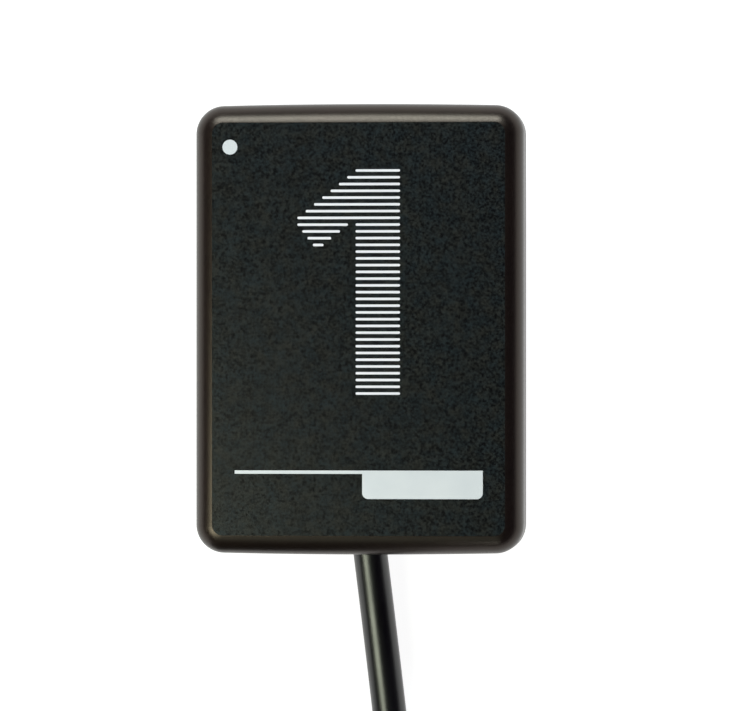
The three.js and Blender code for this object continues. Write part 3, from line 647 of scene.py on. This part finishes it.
# Ties
def tie_band(name, node):
    """A band of tape with chamfered edges, in the place of its node."""
    low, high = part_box(node)
    half = (high.x - low.x) / 2
    length = high.y - low.y
    height = high.z - low.z
    middle = (low + high) / 2
    corner = CABLE_RADIUS + TIE_GAP + TIE_THICKNESS
    rings = []
    for inset, across in (
        (TIE_EDGE, -half),
        (0, -half + TIE_EDGE),
        (0, half - TIE_EDGE),
        (TIE_EDGE, half),
        (TIE_THICKNESS - TIE_EDGE, half),
        (TIE_THICKNESS, half - TIE_EDGE),
        (TIE_THICKNESS, -half + TIE_EDGE),
        (TIE_THICKNESS - TIE_EDGE, -half),
    ):
        outline = rounded_outline(
            length - 2 * inset,
            height - 2 * inset,
            corner - inset,
            steps=BAND_CORNER_STEPS,
        )
        rings.append([(middle.x + across, middle.y + y, middle.z + z) for y, z in outline])
    return skin(name, rings, closes_on_itself=True)


def tie_end(name, node, on_top):
    """The overlapping end of the tape, on the band's top or on its side towards the head."""
    low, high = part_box(node)
    middle = (low + high) / 2
    width = high.x - low.x - 2 * TIE_EDGE
    rings = []
    for inset, height in (
        (0, -TIE_END_SUNK),
        (0, TIE_END_THICKNESS - TIE_END_EDGE),
        (TIE_END_EDGE, TIE_END_THICKNESS),
    ):
        outline = rounded_outline(
            width - 2 * inset,
            TIE_END_LENGTH - 2 * inset,
            TIE_END_CORNER_RADIUS - inset,
            steps=SMALL_CORNER_STEPS,
        )
        ring = []
        for across, along in outline:
            if on_top:
                ring.append((middle.x + across, middle.y - TIE_END_SHIFT + along, high.z + height))
            else:
                ring.append((middle.x + across, high.y + height, middle.z - TIE_END_SHIFT + along))
        rings.append(ring)
    return skin(name, rings)


# Plug
def on_plug(outline, along):
    """An outline drawn across the plug, at a distance along it."""
    tip = plug_tip()
    return [(tip.x + along, tip.y - across, tip.z + up) for across, up in outline]


def plug_block(name, width, height, radius, stations):
    """A block along the plug, from pairs of inset and place along it."""
    rings = []
    for inset, along in stations:
        outline = rounded_outline(
            width - 2 * inset,
            height - 2 * inset,
            max(radius - inset, LEAST_PLUG_RADIUS),
            steps=BAND_CORNER_STEPS,
        )
        rings.append(on_plug(outline, along))
    return skin(name, rings)


def shell_hollow():
    """The inside of the metal shell, open at both ends."""
    return plug_block(
        "hollow",
        SHELL_WIDTH - 2 * SHELL_WALL,
        SHELL_HEIGHT - 2 * SHELL_WALL,
        SHELL_CORNER_RADIUS - SHELL_WALL,
        ((0, SHELL_REAR - SHELL_WALL), (0, SHELL_MOUTH + SHELL_WALL)),
    )


def shell_window(side):
    """A latch window on one side of the shell, through its top and bottom."""
    start = SHELL_MOUTH - WINDOW_SETBACK - WINDOW_LENGTH
    outline = rounded_outline(
        WINDOW_WIDTH,
        2 * SHELL_HEIGHT,
        WINDOW_CORNER_RADIUS,
        steps=WINDOW_CORNER_STEPS,
    )
    moved = [(across + side * WINDOW_SPACING / 2, up) for across, up in outline]
    return skin("window", [on_plug(moved, start), on_plug(moved, start + WINDOW_LENGTH)])


def plug_shell():
    """Open metal shell with two latch windows."""
    stations = ((0, SHELL_REAR), (0, SHELL_MOUTH - SHELL_LIP), (SHELL_LIP, SHELL_MOUTH))
    shell = plug_block("plug_shell", SHELL_WIDTH, SHELL_HEIGHT, SHELL_CORNER_RADIUS, stations)
    boolean(shell, shell_hollow(), "DIFFERENCE")
    for side in (-1, 1):
        boolean(shell, shell_window(side), "DIFFERENCE")
    shade_again(shell)
    return shell


def overmould_stations():
    """Pairs of inset and place: a rounded end, a taper to the shoulder, the grooves, a rounded end."""
    stations = []
    for turn in quarter_turn(OVERMOULD_EDGE_STEPS):
        inset = OVERMOULD_TAPER + OVERMOULD_EDGE * (1 - math.sin(turn))
        stations.append((inset, RELIEF_LENGTH + OVERMOULD_EDGE * (1 - math.cos(turn))))
    first_groove = RELIEF_LENGTH + GRIP_SETBACK
    stations.append((SHOULDER_INSET, first_groove - SHOULDER_START_SHARE * GRIP_WIDTH))
    stations.append((0, first_groove - GRIP_WIDTH))
    for groove in range(GRIP_COUNT):
        start = first_groove + groove * GRIP_PITCH
        for step in range(GROOVE_STEPS + 1):
            depth = GRIP_DEPTH * (1 - math.cos(2 * math.pi * step / GROOVE_STEPS)) / 2
            stations.append((depth, start + GRIP_WIDTH * step / GROOVE_STEPS))
    for turn in quarter_turn(OVERMOULD_EDGE_STEPS):
        along = OVERMOULD_END - OVERMOULD_EDGE * (1 - math.sin(turn))
        stations.append((OVERMOULD_EDGE * (1 - math.cos(turn)), along))
    return stations


def shell_pocket():
    """The hollow in the grip that takes the shell."""
    return plug_block(
        "pocket",
        SHELL_WIDTH + 2 * POCKET_FIT,
        SHELL_HEIGHT + 2 * POCKET_FIT,
        SHELL_CORNER_RADIUS + POCKET_FIT,
        ((0, SHELL_REAR - POCKET_FIT), (0, OVERMOULD_END + SHELL_WALL)),
    )


def plug_overmould():
    """Grip with rounded ends and four grooves round it, open for the shell."""
    stations = overmould_stations()
    grip = plug_block("plug_grip", OVERMOULD_WIDTH, OVERMOULD_HEIGHT, OVERMOULD_CORNER_RADIUS, stations)
    boolean(grip, shell_pocket(), "DIFFERENCE")
    shade_again(grip, GRIP_SHARP_ANGLE)
    return grip


def plug_relief():
    """Tapered relief with rounded ribs."""
    profile = [
        (RELIEF_CAP_RADIUS, 0),
        (RELIEF_TIP_RADIUS - RELIEF_TIP_EDGE, 0),
        (RELIEF_TIP_RADIUS, RELIEF_TIP_EDGE),
    ]
    steps = RELIEF_RIBS * RIB_STEPS
    for step in range(1, steps):
        share = step / steps
        radius = RELIEF_TIP_RADIUS + (RELIEF_BASE_RADIUS - RELIEF_TIP_RADIUS) * share
        wave = (1 - math.cos(2 * math.pi * share * RELIEF_RIBS)) / 2
        held = min(1, RIB_FULLNESS_SHARE * wave)
        profile.append((radius - RELIEF_RIB_DEPTH * (1 - held), RELIEF_LENGTH * share))
    profile.append((RELIEF_BASE_RADIUS - RELIEF_BASE_EDGE, RELIEF_LENGTH))
    profile.append((RELIEF_CAP_RADIUS, RELIEF_LENGTH))
    rings = [on_plug(circle(radius, RELIEF_SIDES), along) for radius, along in profile]
    return skin("plug_relief", rings)


# Printed marks
def print_piece(name, outlines):
    """Flat marks with a small thickness, from closed outlines on the face."""
    points = []
    faces = []
    for outline in outlines:
        start = len(points)
        points += [(x, y, FACE) for x, y in outline]
        points += [(x, y, FACE + INK_THICKNESS) for x, y in outline]
        faces += [tuple(start + i for i in face) for face in skin_faces(2, len(outline))]
    return mesh_piece(name, points, faces)


def stripe_outline(left, right, level):
    radius = STRIPE_WIDTH / 2
    return [
        *arc((right - radius, level), radius, -90, 180),
        *arc((left + radius, level), radius, 90, 180),
    ]


def numeral():
    """The size number, a plain 1 drawn with level stripes."""
    outlines = []
    for row in range(STRIPE_COUNT):
        level = NUMERAL_TOP - row * STRIPE_PITCH
        left = STEM_LEFT
        if row < FLAG_LONGEST:
            left -= row * FLAG_STEP
        outlines.append(stripe_outline(left, STEM_RIGHT, level))
        if FLAG_LONGEST <= row < FLAG_ROWS:
            place = row - FLAG_LONGEST
            outlines.append(stripe_outline(FLAG_LEFTS[place], FLAG_RIGHTS[place], level))
    return print_piece("size_number", outlines)


def rule_and_tab():
    """A thin rule that carries a blank tab."""
    radius = TAB_CORNER_RADIUS
    corner_level = RULE_LEVEL - TAB_HEIGHT + radius
    outline = [
        (RULE_LEFT, RULE_LEVEL),
        (RULE_LEFT, RULE_LEVEL - RULE_WIDTH),
        (TAB_LEFT, RULE_LEVEL - RULE_WIDTH),
        *arc((TAB_LEFT + radius, corner_level), radius, 180, 90),
        *arc((RULE_RIGHT - radius, corner_level), radius, 270, 90),
        (RULE_RIGHT, RULE_LEVEL),
    ]
    return print_piece("rule_and_tab", [outline])


def dot():
    outline = [(DOT_X + x, DOT_Y + y) for x, y in circle(DOT_DIAMETER / 2, DOT_SIDES)]
    return print_piece("orientation_dot", [outline])


# Materials. Noise scales are in repeats per metre, and most values of the noise lie in its range
NOISE_RANGE = (0.35, 0.65)
NOISE_ROUGHNESS = 0.55
NOISE_DETAIL = 3
GRAIN_DETAIL = 4
PATCH_SCALE = 300

# Sockets of a colour mix node
MIX_SHARE = 0
MIX_COLOURS = (6, 7)
MIX_RESULT = 2

# Quiet finishes of the pieces inside the housing and the plug
QUIET_DARK_SHARE = 0.88
QUIET_ROUGH_RANGE = 0.1
QUIET_GRAIN = 2600
QUIET_DEPTH = 0.003 * MM

# Matte face: dark and light specks, over warm and cool patches
FACE_PATCH_SCALE = 900
FACE_SPECK_SCALE = 5000
FACE_GRAIN = 5200
FACE_DEPTH = 0.005 * MM
FACE_ROUGH = (0.29, 0.48)
FACE_GLOSS = 0.38
WARM_SPECKS = ((0.0002, 0.0002, 0.0002), (0.0072, 0.0074, 0.0060))
COOL_SPECKS = ((0.0001, 0.0002, 0.0008), (0.0012, 0.0064, 0.0094))


def empty_tree(owner):
    """The cleared node tree of a material or a world."""
    owner.use_nodes = True
    owner.node_tree.nodes.clear()
    return owner.node_tree


def blank_material(name):
    material = bpy.data.materials.new(name)
    tree = empty_tree(material)
    output = tree.nodes.new("ShaderNodeOutputMaterial")
    shader = tree.nodes.new("ShaderNodeBsdfPrincipled")
    tree.links.new(shader.outputs["BSDF"], output.inputs["Surface"])
    return material, tree, shader


def noise(tree, scale, detail=NOISE_DETAIL, stretch=(1, 1, 1)):
    """Noise on object coordinates."""
    coordinates = tree.nodes.new("ShaderNodeTexCoord")
    mapping = tree.nodes.new("ShaderNodeMapping")
    mapping.inputs["Scale"].default_value = stretch
    texture = tree.nodes.new("ShaderNodeTexNoise")
    texture.inputs["Scale"].default_value = scale
    texture.inputs["Detail"].default_value = detail
    texture.inputs["Roughness"].default_value = NOISE_ROUGHNESS
    tree.links.new(coordinates.outputs["Object"], mapping.inputs["Vector"])
    tree.links.new(mapping.outputs["Vector"], texture.inputs["Vector"])
    return texture.outputs["Fac"]


def spread(tree, value, low, high):
    """Maps noise to a range."""
    stretch = tree.nodes.new("ShaderNodeMapRange")
    stretch.inputs["From Min"].default_value = NOISE_RANGE[0]
    stretch.inputs["From Max"].default_value = NOISE_RANGE[1]
    stretch.inputs["To Min"].default_value = low
    stretch.inputs["To Max"].default_value = high
    tree.links.new(value, stretch.inputs["Value"])
    return stretch.outputs["Result"]


def mixed_colour(tree, value, first, second):
    """A mix by noise of two colours, or of two outputs that give a colour."""
    mix = tree.nodes.new("ShaderNodeMix")
    mix.data_type = "RGBA"
    tree.links.new(spread(tree, value, 0, 1), mix.inputs[MIX_SHARE])
    for place, colour in zip(MIX_COLOURS, (first, second)):
        if isinstance(colour, tuple):
            mix.inputs[place].default_value = (*colour, 1)
        else:
            tree.links.new(colour, mix.inputs[place])
    return mix.outputs[MIX_RESULT]


def bump(tree, shader, height, depth):
    node = tree.nodes.new("ShaderNodeBump")
    node.inputs["Strength"].default_value = 1
    node.inputs["Distance"].default_value = depth
    tree.links.new(height, node.inputs["Height"])
    tree.links.new(node.outputs["Normal"], shader.inputs["Normal"])


def surface(
    name, colours, rough, grain, depth, metallic=0.0, specular=0.5, tint=(1, 1, 1), stretch=(1, 1, 1),
):
    """A material with two close colours in soft patches, a range of roughness and a fine grain."""
    material, tree, shader = blank_material(name)
    patches = noise(tree, PATCH_SCALE)
    fine = noise(tree, grain, GRAIN_DETAIL, stretch)
    tree.links.new(mixed_colour(tree, patches, *colours), shader.inputs["Base Color"])
    tree.links.new(spread(tree, fine, *rough), shader.inputs["Roughness"])
    shader.inputs["Metallic"].default_value = metallic
    shader.inputs["Specular IOR Level"].default_value = specular
    shader.inputs["Specular Tint"].default_value = (*tint, 1)
    bump(tree, shader, fine, depth)
    return material


def quiet_surface(name, colour, rough, metallic=0.0):
    """A finish in one colour, for a piece inside the housing or the plug."""
    darker = tuple(channel * QUIET_DARK_SHARE for channel in colour)
    return surface(
        name,
        colours=(colour, darker),
        rough=(rough, rough + QUIET_ROUGH_RANGE),
        grain=QUIET_GRAIN,
        depth=QUIET_DEPTH,
        metallic=metallic,
    )


def face_finish():
    """The matte face: fine dark and light specks over warm and cool patches."""
    material, tree, shader = blank_material("face_black")
    patches = noise(tree, FACE_PATCH_SCALE)
    specks = noise(tree, FACE_SPECK_SCALE)
    fine = noise(tree, FACE_GRAIN)
    warm = mixed_colour(tree, specks, *WARM_SPECKS)
    cool = mixed_colour(tree, specks, *COOL_SPECKS)
    tree.links.new(mixed_colour(tree, patches, warm, cool), shader.inputs["Base Color"])
    tree.links.new(spread(tree, specks, *FACE_ROUGH), shader.inputs["Roughness"])
    shader.inputs["Specular IOR Level"].default_value = FACE_GLOSS
    bump(tree, shader, fine, FACE_DEPTH)
    return material


HOUSING = surface(
    "housing_black",
    colours=((0.0080, 0.0044, 0.0036), (0.0062, 0.0036, 0.0032)),
    rough=(0.29, 0.37),
    grain=5200,
    depth=0.003 * MM,
    tint=(1, 0.82, 0.7),
)
FACE_BLACK = face_finish()
JACKET = surface(
    "jacket_black",
    colours=((0.0018, 0.0014, 0.0013), (0.0012, 0.0010, 0.0010)),
    rough=(0.31, 0.35),
    grain=2600,
    depth=0.001 * MM,
    specular=0.75,
    stretch=(1, 0.15, 1),
)
BOOT = surface(
    "boot_black",
    colours=((0.010, 0.010, 0.010), (0.007, 0.007, 0.007)),
    rough=(0.42, 0.52),
    grain=3200,
    depth=0.004 * MM,
)
SEAL = surface(
    "seal_black",
    colours=((0.006, 0.006, 0.006), (0.004, 0.004, 0.004)),
    rough=(0.7, 0.8),
    grain=3000,
    depth=0.004 * MM,
)
STEEL = surface(
    "nickel_steel",
    colours=((0.56, 0.55, 0.53), (0.50, 0.49, 0.48)),
    rough=(0.22, 0.34),
    grain=1500,
    depth=0.002 * MM,
    metallic=1,
    stretch=(0.1, 1, 1),
)
GRIP = surface(
    "grip_black",
    colours=((0.014, 0.014, 0.014), (0.011, 0.011, 0.011)),
    rough=(0.48, 0.53),
    grain=5200,
    depth=0.004 * MM,
)
INK = surface(
    "ink_white",
    colours=((0.64, 0.635, 0.69), (0.68, 0.67, 0.72)),
    rough=(0.4, 0.5),
    grain=3000,
    depth=0.002 * MM,
)
BRIGHT_INK = surface(
    "ink_bright",
    colours=((0.81, 0.76, 0.845), (0.84, 0.79, 0.865)),
    rough=(0.4, 0.5),
    grain=3000,
    depth=0.002 * MM,
)
TAPE = surface(
    "tape_black",
    colours=((0.012, 0.012, 0.013), (0.02, 0.02, 0.021)),
    rough=(0.75, 0.9),
    grain=1800,
    depth=0.03 * MM,
)


def dress(piece, material, slot, *nodes):
    """Puts a piece of the fixed body in the place of its nodes, if it has any, and gives it its finish."""
    if nodes:
        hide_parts(*nodes)
    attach(piece, "root")
    piece.data.materials.clear()
    piece.data.materials.append(material)


def finish_face(piece):
    """Gives the flat face of the front shell the matte finish, up to the crease's first step."""
    piece.data.materials.append(FACE_BLACK)
    least_rise = math.cos(CREASE_TILT / CREASE_STEPS)
    for polygon in piece.data.polygons:
        if polygon.center.z > FACE - INK_THICKNESS and polygon.normal.z > least_rise:
            polygon.material_index = 1


front_piece = housing_front()
dress(front_piece, HOUSING, "housing", "front_shell")
finish_face(front_piece)
dress(housing_rear(), HOUSING, "housing", "rear_shell")
dress(strain_boot(), BOOT, "boot_rubber", "strain_relief_boot")
dress(lead, JACKET, "cable_jacket", "cable_run", "cable_coil", "cable_tail")
for mark, ink in ((numeral(), BRIGHT_INK), (rule_and_tab(), INK), (dot(), INK)):
    dress(mark, ink, "white_plastic")

ties = []
for name, node, on_top in (("tie_near", "coil_tie_near", False), ("tie_far", "coil_tie_far", True)):
    band = tie_band(name, node)
    dress(band, TAPE, "tie_fabric", node)
    end = tie_end(name + "_end", node, on_top)
    dress(end, TAPE, "tie_fabric")
    ties += [band, end]

for piece, node, finish, slot in (
    (plug_shell(), "usb_shell", STEEL, "steel"),
    (plug_overmould(), "usb_overmould", GRIP, "plug_plastic"),
    (plug_relief(), "plug_strain_relief", GRIP, "boot_rubber"),
):
    dress(piece, finish, slot, node)

# Kept nodes get their finish in their own slots
CHIPS = ("controller_chip", "memory_chip", "regulator_chip")
CAPACITORS = ("capacitor_1", "capacitor_2", "capacitor_3", "capacitor_4")
CONTACTS = ("usb_contact_power", "usb_contact_data_minus", "usb_contact_data_plus", "usb_contact_ground")
KEPT = (
    (("perimeter_seal",), SEAL),
    (("front_spacer", "rear_spacer"), quiet_surface("silicone_grey", (0.30, 0.31, 0.31), 0.55)),
    (("scintillator_plate",), quiet_surface("scintillator_white", (0.72, 0.74, 0.70), 0.6)),
    (("fibre_optic_plate",), quiet_surface("fibre_glass", (0.34, 0.42, 0.42), 0.2)),
    (("image_sensor_die",), quiet_surface("silicon", (0.09, 0.10, 0.12), 0.18, metallic=0.6)),
    (("sensor_board",), quiet_surface("board_green", (0.03, 0.16, 0.07), 0.4)),
    (("backscatter_shield",), quiet_surface("shield_grey", (0.24, 0.24, 0.25), 0.5, metallic=1)),
    (CHIPS, quiet_surface("package_black", (0.02, 0.02, 0.022), 0.5)),
    (("timing_crystal", "cable_anchor"), STEEL),
    (CAPACITORS, quiet_surface("capacitor_tan", (0.36, 0.25, 0.15), 0.45)),
    (("wire_header", "conductor_data_minus"), quiet_surface("white_plastic", (0.66, 0.66, 0.62), 0.45)),
    (("usb_tongue",), quiet_surface("tongue_white", (0.68, 0.68, 0.65), 0.4)),
    (("cable_jacket_end",), JACKET),
    (("conductor_power",), quiet_surface("red_insulation", (0.40, 0.02, 0.02), 0.4)),
    (("conductor_ground",), quiet_surface("black_insulation", (0.01, 0.01, 0.01), 0.4)),
    (("conductor_data_plus",), quiet_surface("green_insulation", (0.03, 0.24, 0.07), 0.4)),
    (CONTACTS, quiet_surface("contact_gold", (0.83, 0.60, 0.22), 0.25, metallic=1)),
)
for names, finish in KEPT:
    for name in names:
        for place in frame["nodes"][name].material_slots:
            place.material = finish

# Stage: a floor that curves up into a backdrop, the world and the lamps
FLOOR_RADIUS = 2.4
FLOOR_SIDES = 96
FLOOR_DROP = 0.02 * MM
FLOOR_GREY = 0.25
BACKDROP_CURVE = 0.35
BACKDROP_STEPS = 12
BACKGROUND_STRENGTH = 0.95
WORLD_COLOUR = (0.02, 0.016, 0.036)


def seen_directly(tree):
    """One for rays from the camera, from gloss and through glass, and nothing for the others."""
    path = tree.nodes.new("ShaderNodeLightPath")
    seen = path.outputs["Is Camera Ray"]
    for ray in ("Is Glossy Ray", "Is Transmission Ray"):
        either = tree.nodes.new("ShaderNodeMath")
        either.operation = "MAXIMUM"
        tree.links.new(seen, either.inputs[0])
        tree.links.new(path.outputs[ray], either.inputs[1])
        seen = either.outputs[0]
    return seen


def background_finish():
    """A pale matte finish, white to the camera and in reflections, that keeps the object's shadow."""
    material = bpy.data.materials.new("background_white")
    tree = empty_tree(material)
    output = tree.nodes.new("ShaderNodeOutputMaterial")
    diffuse = tree.nodes.new("ShaderNodeBsdfDiffuse")
    diffuse.inputs["Color"].default_value = (FLOOR_GREY, FLOOR_GREY, FLOOR_GREY, 1)
    strength = tree.nodes.new("ShaderNodeMath")
    strength.operation = "MULTIPLY"
    strength.inputs[1].default_value = BACKGROUND_STRENGTH
    tree.links.new(seen_directly(tree), strength.inputs[0])
    glow = tree.nodes.new("ShaderNodeEmission")
    tree.links.new(strength.outputs[0], glow.inputs["Strength"])
    add = tree.nodes.new("ShaderNodeAddShader")
    tree.links.new(diffuse.outputs[0], add.inputs[0])
    tree.links.new(glow.outputs[0], add.inputs[1])
    tree.links.new(add.outputs[0], output.inputs["Surface"])
    return material


def floor():
    """A round floor whose rim curves up, so that it fills the view from every side."""
    points = []
    for turn in quarter_turn(BACKDROP_STEPS):
        radius = FLOOR_RADIUS + BACKDROP_CURVE * math.sin(turn)
        level = BACKDROP_CURVE * (1 - math.cos(turn)) - FLOOR_DROP
        points += [(x, y, level) for x, y in circle(radius, FLOOR_SIDES)]
    faces = skin_faces(BACKDROP_STEPS + 1, FLOOR_SIDES, filled=False)
    faces.append(tuple(range(FLOOR_SIDES)))
    piece = mesh_piece("floor", points, faces)
    piece.data.materials.append(background_finish())


def world():
    sky = bpy.data.worlds.new("studio")
    bpy.context.scene.world = sky
    tree = empty_tree(sky)
    output = tree.nodes.new("ShaderNodeOutputWorld")
    light = tree.nodes.new("ShaderNodeBackground")
    light.inputs["Color"].default_value = (*WORLD_COLOUR, 1)
    tree.links.new(light.outputs[0], output.inputs["Surface"])


def lamp(name, bearing, tilt, distance, size, power, colour):
    """An area lamp that faces the head. Its bearing, and its tilt from above, are in degrees."""
    light = bpy.data.lights.new(name, "AREA")
    light.shape = "RECTANGLE"
    light.size, light.size_y = size
    light.energy = power
    light.color = colour
    turn = math.radians(bearing)
    lean = math.radians(tilt)
    level = math.sin(lean)
    direction = Vector((math.cos(turn) * level, math.sin(turn) * level, math.cos(lean)))
    holder = add_object(name, light)
    holder.location = direction * distance
    holder.rotation_euler = direction.to_track_quat("Z", "Y").to_euler()


floor()
world()
lamp(
    "top_softbox",
    bearing=98,
    tilt=48,
    distance=0.45,
    size=(0.34, 0.18),
    power=2.15,
    colour=(0.87, 1, 0.99),
)
lamp(
    "side_softbox",
    bearing=213,
    tilt=38,
    distance=0.125,
    size=(0.057, 0.057),
    power=0.084,
    colour=(0.94, 1, 0.78),
)
lamp(
    "front_fill",
    bearing=256,
    tilt=40,
    distance=0.45,
    size=(0.34, 0.2),
    power=0.13,
    colour=(0.8, 1, 0.85),
)

bpy.context.scene.view_settings.view_transform = "Standard"
